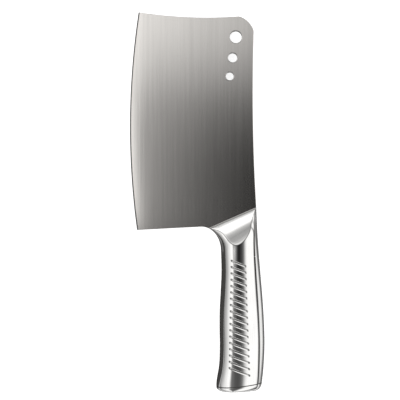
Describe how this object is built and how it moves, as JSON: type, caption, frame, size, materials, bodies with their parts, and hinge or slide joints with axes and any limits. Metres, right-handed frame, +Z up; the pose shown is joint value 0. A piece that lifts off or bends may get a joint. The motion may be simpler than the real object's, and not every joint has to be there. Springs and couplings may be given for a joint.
{
  "type": "kitchen knife",
  "caption": "Broad all-steel kitchen cleaver with a brushed blade, polished bolster, and a hollow steel handle with slanted grip grooves.",
  "frame": {"origin": "on the table under the middle of the knife's outline, as it lies on its back face", "axes": "+Z up from the table; +Y along the knife from the handle to the far end of the blade; +X from the cutting edge to the spine"},
  "size_m": [0.1058, 0.3003, 0.0228],
  "materials": {
    "blade_steel": "fine brushed lines along the blade, satin",
    "polished_steel": "polished stainless steel, near mirror",
    "weld_steel": "dressed weld, satin",
    "inner_steel": "plain steel, hidden inside the handle"
  },
  "bodies": {
    "root": {"blade": "blade_steel", "tang": "inner_steel", "bolster": "polished_steel", "tang_pins": "inner_steel", "tang_weld": "inner_steel", "blade_weld_front": "weld_steel", "blade_weld_back": "weld_steel", "front_shell": "polished_steel", "back_shell": "polished_steel", "bolster_seam_weld": "polished_steel", "spine_seam_weld": "polished_steel", "belly_seam_weld": "polished_steel", "butt_cap": "polished_steel", "butt_seam_weld": "weld_steel"}
  },
  "joints": []
}
